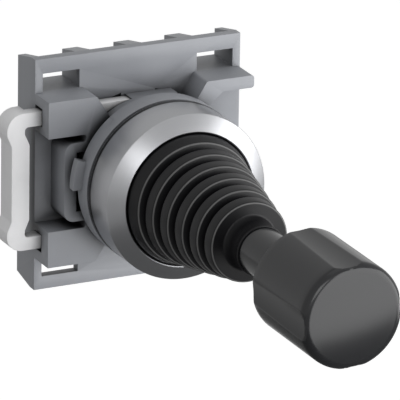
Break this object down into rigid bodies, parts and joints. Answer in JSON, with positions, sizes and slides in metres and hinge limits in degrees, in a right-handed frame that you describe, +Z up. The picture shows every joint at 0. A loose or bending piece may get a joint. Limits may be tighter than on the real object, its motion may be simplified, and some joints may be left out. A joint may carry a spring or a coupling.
{
  "type": "joystick operator",
  "caption": "Panel-mounted industrial joystick: sprung lever with finger-fluted knob, ribbed rubber boot, satin metal bezel and a clip-on holder with a locking bail.",
  "frame": {"origin": "on the lever axis at the panel seat, the rear face of the panel gasket", "axes": "+Z up, -Y out of the panel along the lever at rest, +X to the right seen from the front"},
  "size_m": [0.0447, 0.0896, 0.0414],
  "materials": {
    "grey_plastic": "satin cool grey polyamide",
    "pale_plastic": "satin pale grey polyamide",
    "black_plastic": "matt black polyamide",
    "dark_plastic": "satin charcoal plastic",
    "black_rubber": "semi-matt black rubber",
    "satin_chrome": "satin chrome plated zinc",
    "steel": "plain turned steel",
    "brass": "turned brass"
  },
  "bodies": {
    "operator": {"holder_plate": "grey_plastic", "clamp_ring": "grey_plastic", "panel_gasket": "black_rubber", "operator_neck": "black_plastic", "bezel": "satin_chrome", "boot": "black_rubber", "gate_plate": "steel", "boot_ring": "black_plastic", "pivot_cradle": "steel", "guide_plate": "black_plastic", "spring_seat": "steel", "centring_spring": "steel"},
    "bail": {"locking_bail": "pale_plastic"},
    "gimbal": {"gimbal_ring": "steel", "gimbal_pins": "steel"},
    "lever": {"pivot_hub": "steel", "hub_pins": "steel", "lever_rod": "steel", "lever_sleeve": "dark_plastic", "knob": "dark_plastic", "knob_insert": "brass", "rocker_disc": "black_plastic", "disc_clip": "steel"},
    "push_up": {"plunger_up": "pale_plastic"},
    "push_down": {"plunger_down": "pale_plastic"},
    "push_left": {"plunger_left": "pale_plastic"},
    "push_right": {"plunger_right": "pale_plastic"}
  },
  "joints": [
    {"name": "bail_slide", "type": "slide", "parent": "operator", "child": "bail", "axis": [1, 0, 0], "range_m": [0, 0.002]},
    {"name": "tilt_up_down", "type": "hinge", "parent": "operator", "child": "gimbal", "pos_m": [0, 0.001, 0], "axis": [1, 0, 0], "range_deg": [-15, 15], "stiffness_Nm_per_rad": 1.2, "deforming": ["boot", "centring_spring"]},
    {"name": "tilt_left_right", "type": "hinge", "parent": "gimbal", "child": "lever", "pos_m": [0, 0.001, 0], "axis": [0, 0, 1], "range_deg": [-15, 15], "stiffness_Nm_per_rad": 1.2, "deforming": ["boot", "centring_spring"]},
    {"name": "push_up_slide", "type": "slide", "parent": "operator", "child": "push_up", "axis": [0, 1, 0], "range_m": [-0.00135, 0.00135]},
    {"name": "push_down_slide", "type": "slide", "parent": "operator", "child": "push_down", "axis": [0, 1, 0], "range_m": [-0.00135, 0.00135]},
    {"name": "push_left_slide", "type": "slide", "parent": "operator", "child": "push_left", "axis": [0, 1, 0], "range_m": [-0.00135, 0.00135]},
    {"name": "push_right_slide", "type": "slide", "parent": "operator", "child": "push_right", "axis": [0, 1, 0], "range_m": [-0.00135, 0.00135]}
  ],
  "couplings": [
    {"joint": "push_up_slide", "follows": "tilt_up_down", "m_per_rad": -0.005},
    {"joint": "push_down_slide", "follows": "tilt_up_down", "m_per_rad": 0.005},
    {"joint": "push_left_slide", "follows": "tilt_left_right", "m_per_rad": -0.005},
    {"joint": "push_right_slide", "follows": "tilt_left_right", "m_per_rad": 0.005}
  ]
}
